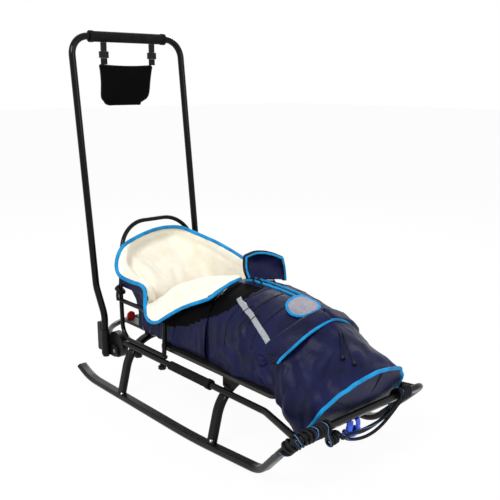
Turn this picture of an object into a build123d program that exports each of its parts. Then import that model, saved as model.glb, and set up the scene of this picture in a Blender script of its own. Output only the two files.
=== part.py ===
from build123d import *
from math import radians, tan
import os

# Child's sled: bent steel frame on two flat-oval runners, a slatted seat, a back hoop
# with armrests, a push handle on two folding clamps, and a quilted footmuff.
# Millimetres. While modelling, x is measured forward from the rear leg arch, y to the
# sled's left and z up from the ground; every solid is moved to mid length on export.

# Tubes
oval_width = 30.0          # flat-oval tube of runners, bumper and arches
oval_thickness = 15.0
rail_diameter = 16.0
hoop_diameter = 12.0
handle_diameter = 19.0
seat_gap = 0.3             # clearance between pieces that only rest on each other
overrun = 40.0             # how far cutting tools pass through what they cut

# Runners, measured on the centre line
runner_y = 193.0
runner_tip_x = -213.0
runner_tip_lift = 20.0
runner_heel_x = -165.0
runner_heel_radius = 200.0
rocker_start_x = 330.0
rocker_radius = 2000.0
rocker_lift = 17.5
front_bend_x = 575.0
front_bend_radius = 70.0
plug_length = 6.0

# Bumper
bumper_x = 698.0
bumper_y = 226.0
bumper_z = 150.0
bumper_bow = 6.0
bumper_bow_radius = 1500.0
bumper_corner_radius = 45.0
runner_joint_share = 0.55  # where along the rising run the bumper tube takes over

# Leg arches
front_arch_x = 396.0
arch_top_z = 161.6
arch_lean = 14.2
arch_radius = 99.0

# Side rails and the rear cross tube
rail_y = 158.4
rail_z = 143.8
rail_corner_radius = 130.0
rear_cross_x = -203.0
rail_bend_x = 547.0
rail_bend_radius = 60.0
rail_nose_x = 690.0
rail_nose_y = 199.0
foam_diameter = 23.0
foam_start_x = 190.0
foam_end_x = 355.0
foam_collar_length = 12.0
foam_collar_diameter = 26.0

# Back hoop: feet on the rails, uprights, arch
hoop_y = 150.0
hoop_foot_y = 156.0
hoop_foot_x = 165.0
hoop_heel_x = -40.0
hoop_heel_radius = 45.0
hoop_shoulder_x = -54.0
hoop_shoulder_z = 292.0
hoop_shoulder_radius = 60.0
hoop_top_x = -106.0
hoop_top_y = 104.0
hoop_top_z = 466.0
hoop_arch_radius = 92.0

# Armrests
armrest_z = 262.0
armrest_front_x = 158.0
armrest_bend_radius = 32.0

# Knobs under the rails that hold the hoop
knob_diameter = 21.0
knob_height = 13.0
knob_neck_diameter = 12.0
knob_bolt_diameter = 6.0
knob_lobes = 6
knob_places_x = (38.0, 151.0)

# Seat slats
slat_width = 34.0
slat_thickness = 9.0
slat_front_x = 556.0
slat_rear_x = -128.0
slat_outer_rear_x = 118.0
slat_pitch = 42.0
slat_end_radius = 14.0

# Tabs that stand at the rear ends of two slats
tab_width = 26.0
tab_height = 22.0
tab_thickness = 4.0

# Folding clamps of the push handle
pivot_x = -64.0
pivot_z = 114.0
pivot_pin_diameter = 10.0
pivot_clearance = 0.05
bracket_radius = 37.0
bracket_thickness = 18.0
bracket_z = 132.0
socket_wall = 2.6
socket_bottom_z = 99.0
socket_top_z = 172.0
socket_plate_thickness = 6.0
socket_boss_radius = 17.0
lever_thickness = 14.0
lever_length = 82.0
lever_width = 18.0

# Push handle, measured on the centre line
handle_y = 181.0
handle_foot_x = -95.0
handle_foot_z = 93.0
handle_low_bend_z = 215.5
handle_knee_x = -133.7
handle_knee_z = 289.5
handle_top_x = -211.7
handle_top_z = 974.8
handle_bend_radius = 60.0
handle_corner_radius = 52.0
grip_diameter = 29.0
grip_half_length = 124.0
grip_collar_diameter = 32.0
grip_collar_length = 10.0

# Pouch and its two straps
pouch_top_z = 900.0
pouch_height = 108.0
pouch_top_width = 190.0
pouch_bottom_width = 132.0
pouch_thickness = 26.0
pouch_shoulder_drop = 88.0
strap_y = 80.0
strap_width = 20.0
strap_thickness = 2.4
buckle_width = 28.0
buckle_height = 18.0
buckle_thickness = 6.0
hook_width = 16.0
hook_height = 24.0
hook_thickness = 7.0

# Footmuff
muff_rear_x = -96.0
muff_half_width = 132.0
muff_wall = 13.0
muff_mouth_x = 290.0
muff_toe_low_x = 640.0
muff_toe_low_z = 168.0
muff_toe_high_x = 736.0
muff_toe_high_z = 250.0
muff_knee_x = 430.0
muff_knee_z = 356.0
muff_mouth_z = 372.0
muff_side_low_z = 226.0

# Tow rope wound on the bumper
rope_diameter = 7.0
rope_wrap_y = 176.0
rope_hank_end_y = 150.0
rope_hank_height = 22.0

parts = {}
datum_x = (muff_toe_high_x + handle_top_x - grip_diameter / 2) / 2


def keep(name, *solids):
    # stores one named piece, moved so that the origin lies at mid length
    shapes = []
    for solid in solids:
        shapes.extend(solid.solids())
    parts[name] = Pos(-datum_x, 0, 0) * Compound(children=shapes)


def sweep_along(path, section, across):
    # sweeps a section drawn in its own XY plane, its X side laid along "across"
    start = Plane(origin=path @ 0, x_dir=across, z_dir=path % 0)
    return sweep(start * section, path=path)


def round_tube(points, radii, diameter):
    path = FilletPolyline(*points, radius=radii)
    return sweep_along(path, Circle(diameter / 2), Vector(path % 0).cross(Vector(0.31, 0.17, 0.93)))


def mirror_y(shape):
    return mirror(shape, about=Plane.XZ)


def block(x0, x1, y0, y1, z0, z1):
    return Pos((x0 + x1) / 2, (y0 + y1) / 2, (z0 + z1) / 2) * Box(x1 - x0, y1 - y0, z1 - z0)


def cylinder_y(x, z, y0, y1, radius):
    return Pos(x, (y0 + y1) / 2, z) * Rot(90, 0, 0) * Cylinder(radius, abs(y1 - y0))


def cylinder_z(x, y, z0, z1, radius):
    return Pos(x, y, (z0 + z1) / 2) * Cylinder(radius, z1 - z0)


def cylinder_x(x0, x1, y, z, radius):
    return Pos((x0 + x1) / 2, y, z) * Rot(0, 90, 0) * Cylinder(radius, x1 - x0)


# Runners and bumper: one flat-oval tube, cut on the rising runs
oval = SlotOverall(oval_width, oval_thickness)
ground_line = oval_thickness / 2
front_bend_z = ground_line + rocker_lift
rise = (bumper_x - front_bend_x, -(bumper_y - runner_y), bumper_z - front_bend_z)
joint = Vector(
    front_bend_x + rise[0] * runner_joint_share,
    -runner_y + rise[1] * runner_joint_share,
    front_bend_z + rise[2] * runner_joint_share,
)

runner_path = FilletPolyline(
    (runner_tip_x, -runner_y, ground_line + runner_tip_lift),
    (runner_heel_x, -runner_y, ground_line),
    (rocker_start_x, -runner_y, ground_line),
    (front_bend_x, -runner_y, front_bend_z),
    tuple(joint),
    radius=[runner_heel_radius, rocker_radius, front_bend_radius],
)
runner = sweep_along(runner_path, oval, (0, 1, 0))

bow_rise = bumper_bow * rise[2] / rise[0]
corner = (bumper_x, -bumper_y, bumper_z)
middle = (bumper_x + bumper_bow, 0, bumper_z + bow_rise)
bumper_path = FilletPolyline(
    tuple(joint),
    corner,
    middle,
    (corner[0], -corner[1], corner[2]),
    (joint.X, -joint.Y, joint.Z),
    radius=[bumper_corner_radius, bumper_bow_radius, bumper_corner_radius],
)
rise_direction = Vector(*rise).normalized()
level = Vector(0, 1, 0)
bumper_across = (level - rise_direction * level.dot(rise_direction)).normalized()
bumper = sweep_along(bumper_path, oval, bumper_across)

keep("runner_right", runner)
keep("runner_left", mirror_y(runner))
keep("bumper", bumper)

# Plastic plugs in the runners' rear ends
tip_direction = Vector(runner_path % 0)
plug_plane = Plane(origin=Vector(runner_path @ 0), x_dir=(0, 1, 0), z_dir=tip_direction * -1)
plug = plug_plane * extrude(oval, plug_length)
keep("runner_plug_right", plug)
keep("runner_plug_left", mirror_y(plug))

# Leg arches: flat-oval, seated on the runners' tops
arch_corner_y = runner_y - (arch_top_z - ground_line) * tan(radians(arch_lean))


def leg_arch(x, foot_z):
    path = FilletPolyline(
        (x, -runner_y, foot_z),
        (x, -arch_corner_y, arch_top_z),
        (x, arch_corner_y, arch_top_z),
        (x, runner_y, foot_z),
        radius=[arch_radius, arch_radius],
    )
    return sweep_along(path, oval, (1, 0, 0)) - runner - mirror_y(runner)


def largest(shape):
    return max(shape.solids(), key=lambda s: s.volume)


keep("leg_arch_rear", largest(leg_arch(0, ground_line)))
keep("leg_arch_front", largest(leg_arch(front_arch_x, ground_line)))

# Side rails and rear cross tube
rail_start_x = rear_cross_x + rail_corner_radius
rail = round_tube(
    [
        (rail_start_x, -rail_y, rail_z),
        (rail_bend_x, -rail_y, rail_z),
        (rail_nose_x, -rail_nose_y, rail_z),
    ],
    [rail_bend_radius],
    rail_diameter,
)
rail = largest(rail - bumper - runner)
keep("side_rail_right", rail)
keep("side_rail_left", mirror_y(rail))

rear_cross = round_tube(
    [
        (rail_start_x, -rail_y, rail_z),
        (rear_cross_x, -rail_y, rail_z),
        (rear_cross_x, rail_y, rail_z),
        (rail_start_x, rail_y, rail_z),
    ],
    [rail_corner_radius - seat_gap, rail_corner_radius - seat_gap],
    rail_diameter,
)
keep("rear_cross_tube", rear_cross)

# Foam grips on the side rails
foam_inner = rail_diameter / 2 + seat_gap
foam = cylinder_x(foam_start_x, foam_end_x, -rail_y, rail_z, foam_diameter / 2)
foam += cylinder_x(foam_end_x - foam_collar_length, foam_end_x, -rail_y, rail_z, foam_collar_diameter / 2)
foam -= cylinder_x(foam_start_x - overrun, foam_end_x + overrun, -rail_y, rail_z, foam_inner)
keep("rail_foam_right", foam)
keep("rail_foam_left", mirror_y(foam))

# Back hoop: one tube from the right foot round to the left foot
hoop_foot_z = rail_z + rail_diameter / 2 + seat_gap + hoop_diameter / 2
hoop = round_tube(
    [
        (hoop_foot_x, -hoop_foot_y, hoop_foot_z),
        (hoop_heel_x, -hoop_foot_y, hoop_foot_z),
        (hoop_shoulder_x, -hoop_y, hoop_shoulder_z),
        (hoop_top_x, -hoop_top_y, hoop_top_z),
        (hoop_top_x, hoop_top_y, hoop_top_z),
        (hoop_shoulder_x, hoop_y, hoop_shoulder_z),
        (hoop_heel_x, hoop_foot_y, hoop_foot_z),
        (hoop_foot_x, hoop_foot_y, hoop_foot_z),
    ],
    [
        hoop_heel_radius,
        hoop_shoulder_radius,
        hoop_arch_radius,
        hoop_arch_radius,
        hoop_shoulder_radius,
        hoop_heel_radius,
    ],
    hoop_diameter,
)
keep("back_hoop", hoop)

# Armrests: from the upright forward, then down to the rail
upright_share = (armrest_z - hoop_foot_z) / (hoop_shoulder_z - hoop_foot_z)
upright_x = hoop_heel_x + (hoop_shoulder_x - hoop_heel_x) * upright_share
upright_y = hoop_foot_y + (hoop_y - hoop_foot_y) * upright_share
armrest_foot_z = hoop_foot_z + hoop_diameter / 2 + seat_gap
armrest = round_tube(
    [
        (upright_x + hoop_diameter / 2 + seat_gap, -upright_y, armrest_z),
        (armrest_front_x, -upright_y, armrest_z),
        (armrest_front_x, -hoop_foot_y, armrest_foot_z),
    ],
    [armrest_bend_radius],
    hoop_diameter,
)
armrest = largest(armrest - hoop)
keep("armrest_right", armrest)
keep("armrest_left", mirror_y(armrest))

# Lobed knobs under the rails
knob_top_z = rail_z - rail_diameter / 2 - seat_gap


def lobed_knob(x):
    neck_z = knob_top_z - knob_height / 3
    body = cylinder_z(x, -rail_y, knob_top_z - knob_height, neck_z, knob_diameter / 2 - knob_bolt_diameter / 4)
    for lobe in range(knob_lobes):
        angle = 2 * 180.0 * lobe / knob_lobes
        reach = knob_diameter / 2 - knob_diameter / 6
        place = Vector(reach, 0, 0).rotate(Axis.Z, angle)
        body += cylinder_z(
            x + place.X, -rail_y + place.Y, knob_top_z - knob_height, neck_z, knob_diameter / 6
        )
    return body + cylinder_z(x, -rail_y, neck_z, knob_top_z, knob_neck_diameter / 2)


for number, knob_x in enumerate(knob_places_x):
    knob = lobed_knob(knob_x)
    place = ("rear", "front")[number]
    keep("rail_knob_" + place + "_right", knob)
    keep("rail_knob_" + place + "_left", mirror_y(knob))

# Seat slats: table of name and place across, in slat pitches
slat_bottom_z = arch_top_z + oval_thickness / 2 + seat_gap
slat_top_z = slat_bottom_z + slat_thickness
slat_table = (
    ("seat_slat_right_outer", -3),
    ("seat_slat_right_wide", -2),
    ("seat_slat_right_inner", -1),
    ("seat_slat_middle", 0),
    ("seat_slat_left_inner", 1),
    ("seat_slat_left_wide", 2),
    ("seat_slat_left_outer", 3),
)
outer_place = slat_table[-1][1]
for slat_name, slat_place in slat_table:
    rear_x = slat_outer_rear_x if abs(slat_place) == outer_place else slat_rear_x
    slat = block(
        rear_x,
        slat_front_x,
        slat_place * slat_pitch - slat_width / 2,
        slat_place * slat_pitch + slat_width / 2,
        slat_bottom_z,
        slat_top_z,
    )
    slat = fillet(slat.edges().filter_by(Axis.Z), slat_end_radius)
    keep(slat_name, slat)

# Spacers between the arches' shoulders and the slats outside their flat tops
spacer_y = slat_pitch * outer_place
for arch_name, arch_x in (("rear", 0.0), ("front", front_arch_x)):
    spacer_place_y = spacer_y if arch_x else spacer_y - slat_pitch
    spacer = block(
        arch_x - oval_width / 2,
        arch_x + oval_width / 2,
        -spacer_place_y - slat_width / 2,
        -spacer_place_y + slat_width / 2,
        arch_top_z - oval_thickness,
        slat_bottom_z - seat_gap,
    )
    spacer = spacer - leg_arch(arch_x, ground_line)
    spacer = max(spacer.solids(), key=lambda solid: solid.center().Z)
    keep("slat_spacer_" + arch_name + "_right", spacer)
    keep("slat_spacer_" + arch_name + "_left", mirror_y(spacer))

# Rounded tabs at the rear ends of the second slats
tab_outline = Pos(0, tab_height - tab_width / 2) * Circle(tab_width / 2)
tab_outline += Pos(0, (tab_height - tab_width / 2) / 2) * Rectangle(tab_width, tab_height - tab_width / 2)
tab_outline &= Pos(0, tab_height / 2) * Rectangle(tab_width, tab_height)
tab_plane = Plane(
    origin=(slat_rear_x + slat_end_radius, -slat_pitch * 2, slat_top_z + seat_gap),
    x_dir=(0, 1, 0),
    z_dir=(1, 0, 0),
)
tab = tab_plane * extrude(tab_outline, tab_thickness)
keep("slat_tab_right", tab)
keep("slat_tab_left", mirror_y(tab))

# Folding clamps: bracket on the frame
handle_radius = handle_diameter / 2
bracket_outer_y = -(rail_y + bracket_thickness / 2)
bracket_inner_y = -(rail_y - bracket_thickness / 2)
bracket = cylinder_y(pivot_x, bracket_z, bracket_outer_y, bracket_inner_y, bracket_radius)
bracket -= rear_cross
bracket -= rail
bracket = largest(bracket)
pin_hole = cylinder_y(
    pivot_x, pivot_z, bracket_outer_y - overrun, bracket_inner_y + overrun, pivot_pin_diameter / 2
)
bracket -= pin_hole
keep("handle_bracket_right", bracket)
keep("handle_bracket_left", mirror_y(bracket))

# Folding clamps: socket round the post, with a plate down to the pivot
socket_radius = handle_radius + socket_wall
plate_outer_y = bracket_outer_y - seat_gap - socket_plate_thickness
socket = cylinder_z(handle_foot_x, -handle_y, socket_bottom_z, socket_top_z, socket_radius)
socket += cylinder_y(pivot_x, pivot_z, plate_outer_y, bracket_outer_y - seat_gap, socket_boss_radius)
socket += block(
    handle_foot_x,
    pivot_x,
    plate_outer_y,
    bracket_outer_y - seat_gap,
    pivot_z - socket_boss_radius,
    pivot_z + socket_boss_radius,
)
socket -= cylinder_z(
    handle_foot_x, -handle_y, socket_bottom_z - overrun, socket_top_z + overrun, handle_radius
)
socket -= block(
    pivot_x - overrun,
    pivot_x + overrun,
    bracket_outer_y - seat_gap,
    bracket_outer_y + overrun,
    socket_bottom_z - overrun,
    socket_top_z + overrun,
) - cylinder_y(pivot_x, pivot_z, bracket_outer_y, bracket_inner_y, bracket_radius * 2)
socket -= cylinder_y(
    pivot_x, pivot_z, plate_outer_y - overrun, bracket_outer_y + overrun,
    pivot_pin_diameter / 2 + pivot_clearance,
)
socket = largest(socket)
keep("handle_socket_right", socket)
keep("handle_socket_left", mirror_y(socket))

pin = cylinder_y(pivot_x, pivot_z, plate_outer_y, bracket_inner_y, pivot_pin_diameter / 2)
keep("pivot_pin_right", pin)
keep("pivot_pin_left", mirror_y(pin))

# Latch levers behind the sockets
lever_x1 = handle_foot_x - socket_radius - seat_gap
lever = block(
    lever_x1 - lever_width,
    lever_x1,
    -handle_y - lever_thickness / 2,
    -handle_y + lever_thickness / 2,
    socket_top_z - lever_length + lever_width,
    socket_top_z + lever_width,
)
lever = fillet(lever.edges().filter_by(Axis.Y), lever_thickness / 3)
keep("latch_lever_right", lever)
keep("latch_lever_left", mirror_y(lever))

# Push handle
handle = round_tube(
    [
        (handle_foot_x, -handle_y, handle_foot_z),
        (handle_foot_x, -handle_y, handle_low_bend_z),
        (handle_knee_x, -handle_y, handle_knee_z),
        (handle_top_x, -handle_y, handle_top_z),
        (handle_top_x, handle_y, handle_top_z),
        (handle_knee_x, handle_y, handle_knee_z),
        (handle_foot_x, handle_y, handle_low_bend_z),
        (handle_foot_x, handle_y, handle_foot_z),
    ],
    [
        handle_bend_radius,
        handle_bend_radius,
        handle_corner_radius,
        handle_corner_radius,
        handle_bend_radius,
        handle_bend_radius,
    ],
    handle_diameter,
)
keep("push_handle", handle)

grip = cylinder_y(handle_top_x, handle_top_z, -grip_half_length, grip_half_length, grip_diameter / 2)
for side in (-1, 1):
    grip += cylinder_y(
        handle_top_x,
        handle_top_z,
        side * (grip_half_length - grip_collar_length),
        side * grip_half_length,
        grip_collar_diameter / 2,
    )
grip -= cylinder_y(
    handle_top_x,
    handle_top_z,
    -grip_half_length - overrun,
    grip_half_length + overrun,
    handle_radius + seat_gap,
)
keep("handle_grip", grip)

# Pouch that hangs under the grip
pouch_plane = Plane(origin=(handle_top_x, 0, pouch_top_z), x_dir=(0, 1, 0), z_dir=(1, 0, 0))
pouch_outline = Polyline(
    (-pouch_top_width / 2, 0),
    (pouch_top_width / 2, 0),
    (pouch_top_width / 2, -pouch_shoulder_drop),
    (pouch_bottom_width / 2, -pouch_height),
    (-pouch_bottom_width / 2, -pouch_height),
    (-pouch_top_width / 2, -pouch_shoulder_drop),
    close=True,
)
pouch = pouch_plane * extrude(make_face(pouch_outline), pouch_thickness / 2, both=True)
keep("pouch", pouch)

strap_x = handle_top_x
strap_top_z = handle_top_z - grip_diameter / 2 - seat_gap
for side, side_name in ((-1, "right"), (1, "left")):
    y = side * strap_y
    hook_bottom = strap_top_z - hook_height
    buckle_top = hook_bottom - seat_gap
    buckle_bottom = buckle_top - buckle_height
    hook = block(
        strap_x - hook_thickness / 2,
        strap_x + hook_thickness / 2,
        y - hook_width / 2,
        y + hook_width / 2,
        hook_bottom,
        strap_top_z,
    )
    buckle = block(
        strap_x - buckle_thickness / 2,
        strap_x + buckle_thickness / 2,
        y - buckle_width / 2,
        y + buckle_width / 2,
        buckle_bottom,
        buckle_top,
    )
    webbing = block(
        strap_x - strap_thickness / 2,
        strap_x + strap_thickness / 2,
        y - strap_width / 2,
        y + strap_width / 2,
        pouch_top_z + seat_gap,
        buckle_bottom - seat_gap,
    )
    keep("pouch_hook_" + side_name, hook)
    keep("pouch_buckle_" + side_name, buckle)
    keep("pouch_strap_" + side_name, webbing)

# Footmuff: leg bag with a tunnel, closed at the toe
muff_bottom_z = slat_top_z + seat_gap


def side_profile(points, half_width):
    face = make_face(Polyline(*[(x, z) for x, z in points], close=True))
    return Plane.XZ * extrude(face, half_width, both=True)


leg_points = (
    (muff_mouth_x, muff_bottom_z),
    (slat_front_x, muff_bottom_z),
    (muff_toe_low_x, muff_toe_low_z),
    (muff_toe_high_x, muff_toe_high_z),
    (muff_knee_x, muff_knee_z),
    (muff_mouth_x, muff_mouth_z),
)
leg_bag = side_profile(leg_points, muff_half_width)
tunnel_points = (
    (muff_mouth_x - overrun, muff_bottom_z + muff_wall),
    (slat_front_x, muff_bottom_z + muff_wall),
    (muff_toe_low_x, muff_toe_low_z + 2 * muff_wall),
    (muff_toe_high_x - 3 * muff_wall, muff_toe_high_z - muff_wall),
    (muff_knee_x, muff_knee_z - muff_wall),
    (muff_mouth_x - overrun, muff_mouth_z - muff_wall),
)
leg_bag -= side_profile(tunnel_points, muff_half_width - muff_wall)
keep("footmuff_leg_bag", leg_bag)

seat_points = (
    (muff_rear_x, muff_bottom_z),
    (muff_mouth_x - seat_gap, muff_bottom_z),
    (muff_mouth_x - seat_gap, muff_mouth_z),
    (muff_mouth_x - 8 * muff_wall, muff_side_low_z + 2 * muff_wall),
    (muff_rear_x + 14 * muff_wall, muff_side_low_z),
    (muff_rear_x + 7 * muff_wall, muff_mouth_z - 6 * muff_wall),
    (muff_rear_x + 2 * muff_wall, muff_mouth_z - 4 * muff_wall),
)
seat_tub = side_profile(seat_points, muff_half_width)
seat_tub -= block(
    muff_rear_x + muff_wall,
    muff_mouth_x + overrun,
    -muff_half_width + muff_wall,
    muff_half_width - muff_wall,
    muff_bottom_z + muff_wall,
    muff_mouth_z + overrun,
)
keep("footmuff_seat_tub", seat_tub)

# Tow rope: wraps near the right corner and a hank along the bumper
bumper_normal = Vector(rise[2], 0, -rise[0]).normalized()
hank_offset = oval_thickness / 2 + seat_gap + rope_diameter
hank_x = bumper_x + bumper_bow + bumper_normal.X * hank_offset
hank_z = bumper_z + bow_rise + bumper_normal.Z * hank_offset
hank_half = (rope_hank_end_y + rope_wrap_y) / 2
hank = Pos(hank_x, (rope_hank_end_y - rope_wrap_y) / 2, hank_z) * Box(
    2 * rope_diameter, 2 * hank_half, rope_hank_height
)
hank -= bumper
keep("tow_rope_hank", largest(hank))

os.makedirs("parts", exist_ok=True)
for part_name, part_shape in parts.items():
    export_step(part_shape, "parts/" + part_name + ".step")
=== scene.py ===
import math

import bpy
from mathutils import Matrix, Vector
from mathutils.bvhtree import BVHTree
from mathutils.noise import noise as softNoise


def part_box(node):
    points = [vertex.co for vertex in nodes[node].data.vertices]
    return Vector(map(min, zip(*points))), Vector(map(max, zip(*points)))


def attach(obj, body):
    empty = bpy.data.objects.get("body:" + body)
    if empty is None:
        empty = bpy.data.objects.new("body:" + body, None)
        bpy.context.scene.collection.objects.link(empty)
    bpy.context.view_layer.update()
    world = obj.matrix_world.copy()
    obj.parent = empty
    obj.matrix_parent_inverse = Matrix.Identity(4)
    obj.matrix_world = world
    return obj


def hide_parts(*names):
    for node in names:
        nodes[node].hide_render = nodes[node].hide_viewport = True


# Child's sled with a push handle and footmuff. Blender works in metres in the sled's own frame:
# +X forward to the bumper, +Y to the sled's left, +Z up from the ground. Sizes below are in
# millimetres, and their X counts forward from the rear leg arch.

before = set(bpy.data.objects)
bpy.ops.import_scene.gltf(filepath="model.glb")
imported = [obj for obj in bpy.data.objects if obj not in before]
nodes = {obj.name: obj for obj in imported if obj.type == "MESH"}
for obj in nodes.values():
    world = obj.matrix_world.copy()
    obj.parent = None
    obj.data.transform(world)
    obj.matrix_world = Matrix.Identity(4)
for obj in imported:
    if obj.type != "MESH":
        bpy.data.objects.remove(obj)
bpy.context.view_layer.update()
mm = 0.001
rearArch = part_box("leg_arch_rear")
sledZero = (rearArch[0][0] + rearArch[1][0]) / 2
print("frame loaded:", len(nodes), "parts")


def at(x, y, z):
    # a place on the sled, from millimetres to the scene's metres
    return Vector((sledZero + x * mm, y * mm, z * mm))


# Camera: the photograph's own viewpoint
viewpoint = {
    "place": (1640.4, -1174.5, 856.8),
    "turn": 48.42,      # degrees round from looking along +Y
    "fall": 13.06,      # degrees below level
    "roll": 0.16,
    "lens": 52.546,     # mm on a 36 mm sensor
}


def addCamera(v):
    turn, fall, roll = (math.radians(v[key]) for key in ("turn", "fall", "roll"))
    place = at(*v["place"])
    ahead = Vector((-math.sin(turn) * math.cos(fall), math.cos(turn) * math.cos(fall), -math.sin(fall)))
    flat = Vector((math.cos(turn), math.sin(turn), 0))
    rise = flat.cross(ahead)
    side = flat * math.cos(roll) + rise * math.sin(roll)
    up = rise * math.cos(roll) - flat * math.sin(roll)
    camera = bpy.data.objects.new("photoCamera", bpy.data.cameras.new("photoCamera"))
    bpy.context.scene.collection.objects.link(camera)
    camera.matrix_world = Matrix((
        (side.x, up.x, -ahead.x, place.x),
        (side.y, up.y, -ahead.y, place.y),
        (side.z, up.z, -ahead.z, place.z),
        (0, 0, 0, 1),
    ))
    camera.data.sensor_width = 36
    camera.data.lens = v["lens"]
    bpy.context.scene.camera = camera


addCamera(viewpoint)


# Colour and shader helpers
def linear(code):
    # sRGB hex to the linear colour that shaders work in
    parts = [int(code[i:i + 2], 16) / 255 for i in (1, 3, 5)]
    return [p / 12.92 if p <= 0.04045 else ((p + 0.055) / 1.055) ** 2.4 for p in parts] + [1.0]


def addNode(tree, kind, settings=None, links=None):
    # a node, its own settings, its socket values and what feeds it
    made = tree.nodes.new(kind)
    for key, value in (settings or {}).items():
        if isinstance(key, str) and hasattr(made, key):
            setattr(made, key, value)
        else:
            made.inputs[key].default_value = value
    for key, source in (links or {}).items():
        tree.links.new(source, made.inputs[key])
    return made


def newMaterial(name, **values):
    # a named finish and its main shader, with plain values set on the shader itself
    finish = bpy.data.materials.new(name)
    finish.use_nodes = True
    shader = finish.node_tree.nodes["Principled BSDF"]
    for key, value in values.items():
        shader.inputs[key.replace("_", " ")].default_value = value
    return finish, finish.node_tree, shader


def mixedColour(tree, shader, factor, first, second, low=0.35, high=0.65):
    # base colour that drifts between two tones as a pattern rises
    drift = addNode(tree, "ShaderNodeMapRange", {"From Min": low, "From Max": high}, {"Value": factor})
    blend = addNode(tree, "ShaderNodeMix", {"data_type": "RGBA", 6: linear(first), 7: linear(second)},
                    {0: drift.outputs[0]})
    tree.links.new(blend.outputs[2], shader.inputs["Base Color"])


def spread(tree, shader, factor, socket, low, high):
    # a shader value that follows a pattern between two limits
    ranged = addNode(tree, "ShaderNodeMapRange",
                     {"From Min": 0.3, "From Max": 0.7, "To Min": low, "To Max": high}, {"Value": factor})
    tree.links.new(ranged.outputs[0], shader.inputs[socket])


def addBump(tree, shader, height, distance, strength=1.0, below=None):
    # relief of a real depth in metres, on top of another relief if there is one
    bump = addNode(tree, "ShaderNodeBump", {"Strength": strength, "Distance": distance}, {"Height": height})
    if below:
        tree.links.new(below.outputs[0], bump.inputs["Normal"])
    tree.links.new(bump.outputs[0], shader.inputs["Normal"])
    return bump


def pattern(tree, kind, size, **settings):
    # a pattern in object space whose features are about size millimetres apart
    place = addNode(tree, "ShaderNodeTexCoord")
    return addNode(tree, kind, {"Scale": 1 / (size * mm), **settings}, {"Vector": place.outputs["Object"]})


# Finishes of the hard parts
def powderCoat(name, colour, shine, low, high):
    # powder coat on steel tube: deep black, soft orange peel, a little dust in its sheen
    finish, tree, shader = newMaterial(name, Base_Color=linear(colour), Specular_IOR_Level=shine)
    peel = pattern(tree, "ShaderNodeTexNoise", 2.2, Detail=2.0)
    smear = pattern(tree, "ShaderNodeTexNoise", 60.0, Detail=4.0)
    spread(tree, shader, smear.outputs["Fac"], "Roughness", low, high)
    addBump(tree, shader, peel.outputs["Fac"], 0.00008, 0.5)
    return finish


def closedCellFoam():
    # EVA foam sleeve: dull charcoal with open pits, drawn 1.4 mm apart so that they show
    finish, tree, shader = newMaterial("closedCellFoam", Roughness=0.82, Specular_IOR_Level=0.15)
    cells = pattern(tree, "ShaderNodeTexVoronoi", 1.4)
    blush = pattern(tree, "ShaderNodeTexNoise", 18.0, Detail=3.0)
    mixedColour(tree, shader, blush.outputs["Fac"], "#0b0b0c", "#151517")
    addBump(tree, shader, cells.outputs["Distance"], 0.00035, 0.6)
    return finish


def mouldedNylon():
    # injection-moulded nylon: black with the fine spark texture of its mould, drawn coarse to show
    finish, tree, shader = newMaterial("mouldedBlackNylon", Base_Color=linear("#090909"),
                                       Specular_IOR_Level=0.2)
    grain = pattern(tree, "ShaderNodeTexNoise", 0.9, Detail=2.0)
    wear = pattern(tree, "ShaderNodeTexNoise", 25.0, Detail=4.0)
    spread(tree, shader, wear.outputs["Fac"], "Roughness", 0.36, 0.55)
    addBump(tree, shader, grain.outputs["Fac"], 0.00015, 0.6)
    return finish


def zincPlate():
    # zinc-plated steel: pale grey metal with cloudy crystals
    finish, tree, shader = newMaterial("zincPlatedSteel", Metallic=1.0)
    cloud = pattern(tree, "ShaderNodeTexNoise", 4.0, Detail=3.0)
    mixedColour(tree, shader, cloud.outputs["Fac"], "#9fa2a6", "#d4d6d8")
    spread(tree, shader, cloud.outputs["Fac"], "Roughness", 0.22, 0.42)
    return finish


def lacqueredSlat():
    # dark stained plywood slat under lacquer: olive-black, its grain in streaks along the sled about
    # 80 mm long and 2.4 mm wide
    finish, tree, shader = newMaterial("darkStainedSlat", Specular_IOR_Level=0.4)
    place = addNode(tree, "ShaderNodeTexCoord")
    drawn = addNode(tree, "ShaderNodeMapping", {"Scale": (12.0, 420.0, 420.0)},
                    {"Vector": place.outputs["Object"]})
    grain = addNode(tree, "ShaderNodeTexNoise", {"Scale": 1.0, "Detail": 5.0, "Distortion": 0.6},
                    {"Vector": drawn.outputs[0]})
    mixedColour(tree, shader, grain.outputs["Fac"], "#0d0d0b", "#24221d")
    spread(tree, shader, grain.outputs["Fac"], "Roughness", 0.30, 0.48)
    addBump(tree, shader, grain.outputs["Fac"], 0.0002, 0.5)
    return finish


def glossPlastic(name, dark, bright):
    # gloss moulded plastic: clean strong colour, slightly clouded, with sharp highlights
    finish, tree, shader = newMaterial(name, IOR=1.5)
    cloud = pattern(tree, "ShaderNodeTexNoise", 14.0, Detail=2.0)
    mixedColour(tree, shader, cloud.outputs["Fac"], dark, bright)
    spread(tree, shader, cloud.outputs["Fac"], "Roughness", 0.18, 0.32)
    return finish


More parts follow.
